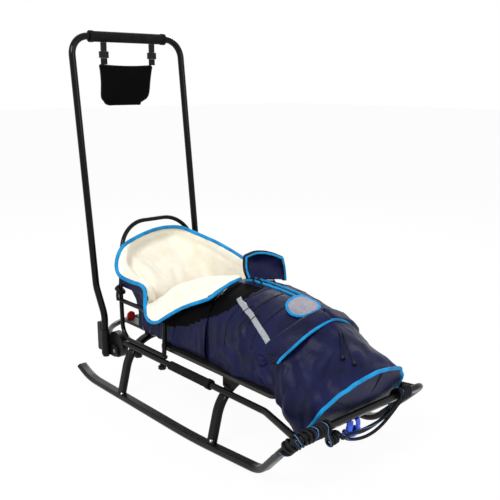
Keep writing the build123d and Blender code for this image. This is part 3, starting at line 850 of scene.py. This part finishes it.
# pinched folds of the fleece on the far wall and in the rear corner
liningFolds = (
    ((-104, 52, 373), (-75, 34, 335), 8.0, 9.0), ((-75, 34, 335), (0, 3, 303), 8.0, 10.0),
    ((-39, 110, 348), (0, 22, 312), 7.0, 10.0), ((-104, 52, 405), (-23, 112, 383), 3.5, 7.0),
    ((-23, 112, 383), (101, 114, 355), 3.5, 7.0), ((0, 40, 305), (120, 116, 320), 5.0, 11.0),
    ((20, -112, 300), (60, -100, 236), 7.0, 11.0), ((-60, -90, 350), (0, -80, 300), 6.0, 12.0),
    ((60, -108, 276), (110, -100, 300), 5.0, 9.0), ((150, -88, 300), (190, -60, 330), 4.0, 10.0),
)


def liningDimples(s, p):
    # soft padding: broad swells with pinched hollows between them
    swell = s["liningSwell"] * wave(p, 80, 70, 70, 1.3)
    return swell + ridge(p, 34, 30, 38, 6.1, 2.5) - foldDepth(p, liningFolds)


def shellCreases(s, p):
    # stuffing that shows through the shell, calm along the rim
    top, fade = s["stuffedBelow"]
    stuffed = min(1.0, max(0.0, (top - p.z / mm) / fade))
    swell = s["swell"] * wave(p, 60, 60, 70, 4.2)
    return (swell + s["crease"] * ridge(p, 24, 40, 60, 7.7)) * stuffed - s["sink"]


def addPaintedShadeUnderRim(piece, s):
    # painted shade: black cloth above the shade's lower edge, on the near side only, where the rim's shadow
    # falls
    piece.data.materials.append(blackClothAndPaintedShade)
    edge = s["paintedShadeEdge"]
    for face in piece.data.polygons:
        x, y, z = (face.center.x - sledZero) / mm, face.center.y / mm, face.center.z / mm
        for (x0, z0), (x1, z1) in zip(edge, edge[1:]):
            if x0 <= x < x1 and y < s["paintedShadeY"] and z > z0 + (z1 - z0) * (x - x0) / (x1 - x0):
                face.material_index = 1


def addSeatTub(s):
    lining, shell = [], []
    for (*rib, (edgeX, edgeY)), (*wall, (footX, footY)) in zip(s["lining"], s["shell"]):
        rib += [(edgeX, edgeY, s["seatEdgeZ"]), (edgeX, 0, s["seatZ"])]
        wall = [rib[0], *wall, (footX, footY, s["bottomZ"]), (footX, 0, s["bottomZ"])]
        lining.append([at(*p) for p in rib])
        shell.append([at(*p) for p in wall])
    rows = smoothGrid(lining, s["along"], s["across"])
    inside = addGrid("footmuffLining", rows, cream, slot="navy_nylon")
    moveAlongNormals(inside, lambda p: liningDimples(s, p))
    outRows = smoothGrid(shell, s["along"], s["across"])
    outside = addGrid("footmuffSeatShell", outRows, navy, slot="navy_nylon", turned=True)
    moveAlongNormals(outside, lambda p: shellCreases(s, p))
    # both keep to the rim, where the binding holds them together
    for piece, width in ((inside, len(rows[0])), (outside, len(outRows[0]))):
        for k, row in enumerate(rows):
            piece.data.vertices[k * width].co = row[0]
    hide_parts("footmuff_seat_tub")
    # the shadow under the near rim, painted black on the shell and the leg bag
    for piece in (outside, legBagPiece):
        addPaintedShadeUnderRim(piece, s)
    inset = Vector(s["tapeInset"]) * mm
    tapeLine = [row[0].lerp(row[3], 0.5) + inset for row in rows[1:s["tapeRibs"] * s["along"]]]
    addTube("footmuffRimZipTape", tapeLine, s["tape"], webbing, squeeze=0.4, slot="navy_nylon")
    rim = smoothRow([row[0] for row in rows][::3], 4)
    addTube("footmuffRimBinding", rim, s["binding"], azure, squeeze=0.75, slot="navy_nylon")
    # fleece inside the leg tunnel
    tunnel = []
    for station in legBag["stations"][:s["tunnelStations"]]:
        ring = bagRing(legBag, *station)
        middle = sum(ring, Vector()) / len(ring)
        tunnel.append([p + (middle - p).normalized() * s["tunnelWall"] * mm for p in ring])
    tunnelRows = smoothGrid(tunnel, 10, 4, closed=True)
    sleeve = addGrid("footmuffTunnelLining", tunnelRows, cream, closed=True, slot="navy_nylon", turned=True)
    moveAlongNormals(sleeve, lambda p: s["tunnelSwell"] * wave(p, 40, 40, 40, 9.0))


addSeatTub(seatTub)
print("seat shell and lining ready")


# Folded-back flap at the mouth of the leg bag
flap = {
    # rows from the base to the top edge, each from the near side to the far side
    "rows": (
        ((320, -2, 370), (333, 16, 370), (346, 40, 369), (352, 66, 366), (352, 90, 360)),
        ((310, -4, 390), (320, 18, 390), (336, 42, 390), (349, 66, 388), (352, 88, 380)),
        ((302, 0, 408), (310, 18, 410), (326, 42, 411), (346, 64, 410), (354, 82, 402)),
        ((299, 4, 424), (314, 20, 434), (330, 42, 434), (345, 62, 427), (353, 78, 418)),
    ),
    "smooth": 8,
    "hollow": 11.0,
    "thickness": 9.0,
    "swell": 1.2,
    "piping": 5.9,
    "binding": 3.2,
}


def addFlap(f):
    rows = smoothGrid([[at(*p) for p in row] for row in f["rows"]], f["smooth"], f["smooth"])
    tall, wide = len(rows), len(rows[0])
    for i, row in enumerate(rows):
        for j, p in enumerate(row):
            deep = math.sin(math.pi * i / (tall - 1)) * math.sin(math.pi * j / (wide - 1))
            p.x -= f["hollow"] * mm * deep
    front = addGrid("footmuffFlap", rows, navy, slot="navy_nylon", turned=True)
    back = [[p - Vector((f["thickness"] * mm, 0, 0)) for p in row] for row in rows]
    rear = addGrid("footmuffFlapLining", back, cream, slot="navy_nylon")
    for piece in (front, rear):
        moveAlongNormals(piece, lambda p: f["swell"] * wave(p, 20, 20, 20, 3.3))
    edge = [row[0] for row in rows] + rows[-1][1:-1] + [row[-1] for row in reversed(rows)]
    edge = [p - Vector((f["thickness"] * mm / 2, 0, 0)) for p in edge]
    loop = smoothRow(edge[::4] + [edge[-1]], 5)
    addTube("footmuffFlapEdge", loop, f["piping"], webbing, slot="navy_nylon")
    inner = [p + Vector((f["thickness"] * mm / 2, 0, 0)) for p in loop]
    addTube("footmuffFlapBinding", inner, f["binding"], azure, slot="navy_nylon")


addFlap(flap)


# Zip down the ridge of the leg bag, with a binding on each side and two pullers
zipLine = {
    "places": ((316, -4, 380), (350, 0, 380), (400, 0, 378), (450, 0, 372), (498, 0, 366)),
    "tape": 7.5,
    "bindingApart": 9.0,
    "bindingRadius": 3.4,
    "toothPitch": 3.2,
    # a tooth's outline, across and along the zip, and the heights of its foot and top
    "tooth": ((-2.6, -0.8), (2.6, -0.8), (2.2, 0.8), (-2.2, 0.8)),
    "toothHeights": (0.4, 2.6),
    # sliders: x of each, its four places along, and how far their middles stand off the bag
    "sliders": (322, 352),
    "sliderPlaces": (-7, -3, 3, 8),
    "sliderZ": 382,
    "sliderLift": 4.5,
    "sliderRadius": 4.4,
    # pullers: x and y from the slider, the step to each next place, and how they settle
    "pullerStart": (8, -4),
    "pullerStep": (7, -5),
    "pullerZ": 380,
    "pullerLift": 6.0,
    "pullerRadius": 2.6,
}


def addZip(z):
    middle = smoothRow([at(*p) for p in z["places"]], 20)
    path = [onBag(p, 1.2) for p in middle]
    addTube("footmuffZipTape", path, z["tape"], webbing, squeeze=0.22, slot="navy_nylon")
    for name, side in (("right", -1), ("left", 1)):
        shifted = [onBag(p + Vector((0, side * z["bindingApart"] * mm, 0)), 1.4) for p in path]
        addTube("footmuffZipBinding_" + name, shifted, z["bindingRadius"], azure, slot="navy_nylon")
    # moulded teeth, one small block each, all in one mesh
    points, faces = [], []
    travelled = 0.0
    for a, b in zip(path, path[1:]):
        travelled += (b - a).length
        if travelled < z["toothPitch"] * mm:
            continue
        travelled = 0.0
        way = (b - a).normalized()
        across = way.cross(Vector((0, 0, 1))).normalized()
        up = across.cross(way)
        start = len(points)
        for h in z["toothHeights"]:
            for s, t in z["tooth"]:
                points.append(b + (across * s + way * t + up * h) * mm)
        corners = ((3, 2, 1, 0), (4, 5, 6, 7), (0, 1, 5, 4), (1, 2, 6, 5), (2, 3, 7, 6), (3, 0, 4, 7))
        faces += [tuple(start + k for k in corner) for corner in corners]
    addPiece("footmuffZipTeeth", points, faces, nylon, slot="plastic_black")
    pullX, pullY = z["pullerStart"]
    stepX, stepY = z["pullerStep"]
    for number, x in enumerate(z["sliders"]):
        body = [onBag(at(x + k, 2 * number - 1, z["sliderZ"]), z["sliderLift"]) for k in z["sliderPlaces"]]
        addTube("zipSlider_%d" % number, smoothRow(body, 4), z["sliderRadius"], nylon, squeeze=0.6,
                slot="plastic_black")
        pull = [onBag(at(x + pullX + stepX * k, pullY + stepY * k, z["pullerZ"]), z["pullerLift"] - k)
                for k in range(5)]
        addTube("zipPuller_%d" % number, smoothRow(pull, 4), z["pullerRadius"], webbing, squeeze=0.5,
                slot="plastic_black")


addZip(zipLine)


# Band with a bound edge that covers where the toe sack gathers
band = {
    # front edge and rear edge from the near side over the ridge to the far side
    "frontEdge": ((560, -134, 256), (576, -134, 274), (594, -127, 295), (601, -92, 317), (603, -46, 332),
                  (602, -4, 337), (597, 40, 322), (585, 84, 294), (572, 122, 262), (560, 134, 240)),
    "rearEdge": ((466, -138, 214), (505, -138, 262), (522, -129, 290), (548, -94, 326), (562, -46, 345),
                 (566, 0, 349), (562, 44, 338), (548, 90, 306), (522, 126, 262), (492, 136, 232)),
    "steps": 9,
    "lift": 4.5,
    "thickness": 2.5,
    "binding": 3.4,
    "hem": 2.2,
}


def addBand(b):
    front, rear = (smoothRow([at(*p) for p in b[edge]], 14) for edge in ("frontEdge", "rearEdge"))
    rows = []
    for a, c in zip(rear, front):
        row = [onBag(a.lerp(c, k / b["steps"]), b["lift"]) for k in range(b["steps"])]
        row.append(c)
        rows.append(row)
    piece = addGrid("footmuffBand", rows, navy, slot="navy_nylon", turned=True)
    thicken(piece, b["thickness"])
    addTube("footmuffBandBinding", [row[-1] for row in rows], b["binding"], azure, slot="navy_nylon")
    addTube("footmuffBandHem", [row[0] for row in rows], b["hem"], navy, slot="navy_nylon")


addBand(band)


# Reflective stripe on the near side of the bag, with the seams that cross it
stripe = {
    "line": (
        (368, -88, 360), (400, -99, 348), (440, -110, 334),
        (480, -119, 314), (515, -126, 294), (550, -131, 268),
    ),
    "outward": (0.1, -0.75, 0.65),
    "halfWidth": 7.5,
    "thickness": 0.8,
    "lift": 2.2,
    # seams: shares of the stripe's length, and how far they run past its edges in eighths of it
    "seams": (0.30, 0.46, 0.86),
    "seamSpan": (-6, 15),
    "seamRadius": 1.0,
}


def addStripe(s):
    line = smoothRow([at(*p) for p in s["line"]], 14)
    rows = []
    outward = Vector(s["outward"])
    for a, b in zip(line, line[1:]):
        across = (b - a).normalized().cross(outward).normalized()
        rows.append([onBag(a + across * s["halfWidth"] * k * mm, s["lift"]) for k in (-1, -0.5, 0, 0.5, 1)])
    piece = addGrid("reflectiveStripe", rows, tape, slot="navy_nylon")
    thicken(piece, s["thickness"], 0.0)
    for number, share in enumerate(s["seams"]):
        row = rows[int(share * (len(rows) - 1))]
        way = row[-1] - row[0]
        seam = [onBag(row[0] + way * k / 8, s["lift"] + s["thickness"]) for k in range(*s["seamSpan"])]
        addTube("bagSeam_%d" % number, seam, s["seamRadius"], webbing, sides=6, slot="navy_nylon")


addStripe(stripe)


# Quilting seams that run down both sides of the bag from the zip
quilting = {
    "stations": (410.0, 455.0, 505.0),
    "slant": 34.0,
    "start": 16.0,      # how far from the middle each seam starts
    "reach": 118.0,
    "steps": 23,
    "lift": 0.4,
    "radius": 0.9,
}


def addQuilting(q):
    for number, x in enumerate(q["stations"]):
        for name, side in (("right", -1), ("left", 1)):
            line = []
            for k in range(q["steps"] + 1):
                y = side * (q["start"] + q["reach"] * k / q["steps"])
                place = aboveBag(x - q["slant"] * k / q["steps"], y, q["lift"])
                if place is not None:
                    line.append(place)
            addTube("quiltSeam_%d_%s" % (number, name), line, q["radius"], webbing, sides=6,
                    slot="navy_nylon")


addQuilting(quilting)


# Bare round patch on the ridge: a bound disc with nothing on it
badge = {
    "x": 529.0,
    "y": -26.0,
    "radius": 35.0,
    "squash": 0.92,     # across the sled, seen from above
    "lift": 4.0,
    "dome": 1.5,
    "binding": 4.4,
    "bindingOut": 2.0,
}


def addBadge(b):
    def spot(radius, angle, lift):
        y = b["y"] + radius * math.sin(angle) * b["squash"]
        return aboveBag(b["x"] + radius * math.cos(angle), y, lift)

    angles = [2 * math.pi * k / 64 for k in range(64)]
    rings = [max(0.5, b["radius"] * k / 8) for k in range(8, -1, -1)]
    rows = [[spot(ring, a, b["lift"] + b["dome"]) for a in angles] for ring in rings]
    addGrid("roundPatch", rows, patch, closed=True, slot="navy_nylon")
    edge = [spot(b["radius"] + b["bindingOut"], a, b["lift"]) for a in angles]
    addTube("roundPatchBinding", edge, b["binding"], azure, squeeze=0.7, closed=True, slot="navy_nylon")


addBadge(badge)
print("flap, zip, band, stripe and patch ready")


# Cord lock at the band's edge and the two drawcords of the toe sack
drawcord = {
    "lock": (619, -6, 322),
    "lockRadius": 6.5,
    "lockLift": 7.0,
    "ends": (
        ((620, -8, 322), (634, -18, 316), (652, -33, 304), (668, -48, 294), (684, -62, 284)),
        ((620, -4, 322), (642, -14, 314), (668, -31, 300), (690, -45, 290), (711, -57, 281)),
    ),
    "diameter": 3.0,
    "lifts": (5.0, 4.0),      # of a cord's middle off the bag, at the lock and beyond it
    "bead": 5.0,
}


def ballPoints(middle, radius, rings=10, around=16):
    # a ball's points and faces, for studs, beads and rivets
    points, faces = [], []
    for i in range(rings + 1):
        lean = math.pi * i / rings
        for j in range(around):
            turn = 2 * math.pi * j / around
            out = Vector((math.sin(lean) * math.cos(turn), math.sin(lean) * math.sin(turn), math.cos(lean)))
            points.append(middle + out * radius * mm)
    return points, gridFaces(rings + 1, around, True)


def addDrawcords(d):
    lock = onBag(at(*d["lock"]), d["lockLift"])
    points, faces = ballPoints(lock, d["lockRadius"])
    addPiece("cordLockStud", points, faces, zinc, slot="pin_steel", turned=True)
    for number, end in enumerate(d["ends"]):
        route = [onBag(at(*p), d["lifts"][min(k, 1)]) for k, p in enumerate(end)]
        line = lineOf(splineThrough("drawcordLine_%d" % number, route))
        cord = addTube("drawcord_%d" % number, line, d["diameter"] / 2, braid, slot="rope_black")
        points, faces = ballPoints(line[-1], d["bead"])
        bead = addPiece("drawcordBead_%d" % number, points, faces, nylon, slot="plastic_black", turned=True)


addDrawcords(drawcord)


# Pouch under the grip: two soft panels that sag, with a bound edge and a hemmed mouth
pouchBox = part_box("pouch")
pouch = {
    "topZ": 899.0,
    "middleY": -8.0,
    "x": (pouchBox[0][0] + pouchBox[1][0]) / 2,
    # share of the height, half width, shift of the middle
    "sections": (
        (0.0, 84, 0), (0.04, 87, 0), (0.10, 85, 0), (0.40, 81, -2),
        (0.74, 79, -6), (0.86, 72, -10), (0.93, 60, -14), (1.0, 57, -15),
    ),
    "height": 110.0,
    "sag": 3.5,
    "halfThick": 9.0,
    "swell": 1.3,
    "crease": 0.8,
    "sideBinding": 2.2,
    "topHem": 2.0,
    "mouth": (3.5, 1.5),      # how far each hem stands out, along the mouth and at its ends
}


def addPouch(p):
    rows = []
    for share, half, shift in p["sections"]:
        row = []
        for k in range(9):
            across = -1 + 2 * k / 8
            y = p["middleY"] + shift + half * across
            sag = p["sag"] * (1 - across * across) * max(0.0, 1 - 4 * share)
            row.append(Vector((0, y * mm, (p["topZ"] - p["height"] * share - sag) * mm)))
        rows.append(row)
    flat = smoothGrid(rows, 5, 5)
    tall, wide = len(flat), len(flat[0])
    for name, side in (("Front", 1), ("Back", -1)):
        panel = []
        for i, row in enumerate(flat):
            puffed = []
            for j, point in enumerate(row):
                a, b = i / (tall - 1), j / (wide - 1)
                full = math.sin(math.pi * min(1.0, 0.15 + 0.85 * a)) ** 0.6
                puff = math.sin(math.pi * b) ** 0.45 * (0.25 + 0.75 * full) if i < tall - 1 else 0.0
                puffed.append(point + Vector((p["x"] + side * p["halfThick"] * mm * puff, 0, 0)))
            panel.append(puffed)
        piece = addGrid("pouch" + name, panel, blackClothAndPaintedShade, body="handle", slot="pouch_black", turned=side > 0)
        moveAlongNormals(piece, lambda q: p["swell"] * wave(q, 22, 22, 30, 2.2)
                         + p["crease"] * ridge(q, 18, 12, 40, 5.1))
        if side > 0:
            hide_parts("pouch")
    hem = [row[0] for row in flat][::4] + flat[-1][4:-4:4] + [row[-1] for row in reversed(flat)][::4]
    edge = smoothRow([q + Vector((p["x"], 0, 0)) for q in hem], 4)
    addTube("pouchSideBinding", edge, p["sideBinding"], webbing, body="handle", slot="pouch_black")
    top = [q + Vector((p["x"], 0, 0)) for q in flat[0]]
    middleOut, endOut = p["mouth"]
    for name, side in (("front", 1), ("back", -1)):
        hem = []
        for k, q in enumerate(top):
            out = middleOut if 3 < k < wide - 4 else endOut
            hem.append(q + Vector((side * out * mm, 0, 0)))
        addTube("pouchTopHem_" + name, hem, p["topHem"], webbing, body="handle", slot="pouch_black")


addPouch(pouch)
print("pouch ready")


# Tie strap of the footmuff, knotted round the right hoop post, and rivets at the leg arches' feet
smallParts = {
    "tie": (
        (-62, -146, 300), (-54, -160, 297), (-46, -158, 290),
        (-50, -144, 284), (-62, -142, 288), (-66, -156, 292),
    ),
    "tieEnd": ((-54, -160, 292), (-50, -164, 278), (-48, -164, 264)),
    "tieRadius": 6.0,
    "tieEndRadius": 7.0,
    "rivets": ((15, 201, 19), (411, 204, 35)),
    "rivetRadius": 4.0,
}


def addSmallParts(d):
    addTube("footmuffTieKnot", smoothRow([at(*p) for p in d["tie"]], 5, True), d["tieRadius"], webbing,
            closed=True, slot="pouch_black")
    addTube("footmuffTieEnd", smoothRow([at(*p) for p in d["tieEnd"]], 5), d["tieEndRadius"], webbing,
            squeeze=0.3, slot="pouch_black")
    for number, (x, y, z) in enumerate(d["rivets"]):
        for name, side in (("right", -1), ("left", 1)):
            points, faces = ballPoints(at(x, side * y, z), d["rivetRadius"])
            addPiece("archRivet_%d_%s" % (number, name), points, faces, zinc, slot="pin_steel", turned=True)


addSmallParts(smallParts)


# Blue two-pronged clip that snaps under the bumper
clip = {
    "middle": (700.0, -43.0, 132.0),
    # places from the clip's middle: its base, and a prong, whose y is a share of the prong's own
    "base": ((-4, -20, -12), (-1, -12, -19), (1, 0, -21), (-1, 12, -19), (-4, 20, -12)),
    "prong": ((-2, 0.8, -18), (3, 1.0, -8), (5, 0.9, 4), (3, 0.75, 13)),
    "prongs": (-15.0, 15.0),
    "baseRadius": 9.5,
    "prongRadius": 7.9,
}


def addClip(c):
    x, y, z = c["middle"]
    base = [at(x + ahead, y + across, z + up) for ahead, across, up in c["base"]]
    addTube("bumperClipBase", smoothRow(base, 6), c["baseRadius"], bluePlastic, squeeze=0.6,
            slot="plastic_black")
    for number, side in enumerate(c["prongs"]):
        prong = [at(x + ahead, y + side * share, z + up) for ahead, share, up in c["prong"]]
        addTube("bumperClipProng_%d" % number, smoothRow(prong, 6), c["prongRadius"], bluePlastic,
                squeeze=0.65, slot="plastic_black")


addClip(clip)
print("tie strap, rivets and clip ready")


# Floor, plain white surroundings and lamps
studio = {
    # places and sizes in metres
    "floorSize": 40.0,
    "floorColour": "#ffffff",
    "floorGlow": 0.95,       # share of the floor that shows as plain white to the camera
    "worldLevel": 0.46,
    "lamps": (
        # name, place, aim, size, watts
        ("keyLamp", (0.9, -2.2, 2.4), (0.0, 0.0, 0.3), 1.0, 66),
        ("fillLamp", (2.6, 0.6, 1.7), (0.1, 0.0, 0.3), 1.2, 18),
        ("rimLamp", (-1.9, 1.7, 2.1), (-0.1, 0.0, 0.4), 1.0, 34),
    ),
}


def addFloor(s):
    mesh = bpy.data.meshes.new("studioFloor")
    half = s["floorSize"] / 2
    corners = [(-half, -half, 0), (half, -half, 0), (half, half, 0), (-half, half, 0)]
    mesh.from_pydata(corners, [], [(0, 1, 2, 3)])
    floor = bpy.data.objects.new("studioFloor", mesh)
    bpy.context.scene.collection.objects.link(floor)
    paper, tree, shader = newMaterial("paleStudioPaper", Roughness=0.9, Base_Color=linear(s["floorColour"]))
    shader.inputs["Specular IOR Level"].default_value = 0.0
    path = addNode(tree, "ShaderNodeLightPath")
    seen = addNode(tree, "ShaderNodeMath", {"operation": "MAXIMUM"},
                   {0: path.outputs["Is Camera Ray"], 1: path.outputs["Is Glossy Ray"]})
    share = addNode(tree, "ShaderNodeMath", {"operation": "MULTIPLY", 1: s["floorGlow"]},
                    {0: seen.outputs[0]})
    glow = addNode(tree, "ShaderNodeEmission", {"Color": (1, 1, 1, 1), "Strength": 1.0})
    mix = addNode(tree, "ShaderNodeMixShader", {},
                  {0: share.outputs[0], 1: shader.outputs[0], 2: glow.outputs[0]})
    tree.links.new(mix.outputs[0], tree.nodes["Material Output"].inputs["Surface"])
    mesh.materials.append(paper)


def addWorld(s):
    # white where the camera, a reflection or clear material sees it, and dimmer as light
    world = bpy.context.scene.world or bpy.data.worlds.new("studioWorld")
    bpy.context.scene.world = world
    world.use_nodes = True
    tree = world.node_tree
    tree.nodes.clear()
    path = addNode(tree, "ShaderNodeLightPath")
    bright = addNode(tree, "ShaderNodeMath", {"operation": "MAXIMUM"},
                     {0: path.outputs["Is Camera Ray"], 1: path.outputs["Is Glossy Ray"]})
    bright = addNode(tree, "ShaderNodeMath", {"operation": "MAXIMUM"},
                     {0: bright.outputs[0], 1: path.outputs["Is Transmission Ray"]})
    level = addNode(tree, "ShaderNodeMapRange", {"To Min": s["worldLevel"], "To Max": 1.0},
                    {"Value": bright.outputs[0]})
    sky = addNode(tree, "ShaderNodeBackground", {"Color": (1, 1, 1, 1)}, {"Strength": level.outputs[0]})
    addNode(tree, "ShaderNodeOutputWorld", {}, {"Surface": sky.outputs[0]})


def addLamps(s):
    for name, place, aim, size, watts in s["lamps"]:
        lamp = bpy.data.objects.new(name, bpy.data.lights.new(name, "AREA"))
        lamp.data.size = size
        lamp.data.energy = watts
        lamp.location = place
        lamp.rotation_mode = "QUATERNION"
        lamp.rotation_quaternion = (Vector(aim) - Vector(place)).to_track_quat("-Z", "Y")
        bpy.context.scene.collection.objects.link(lamp)


addFloor(studio)
addWorld(studio)
addLamps(studio)
bpy.context.scene.view_settings.view_transform = "Standard"
print("studio ready")
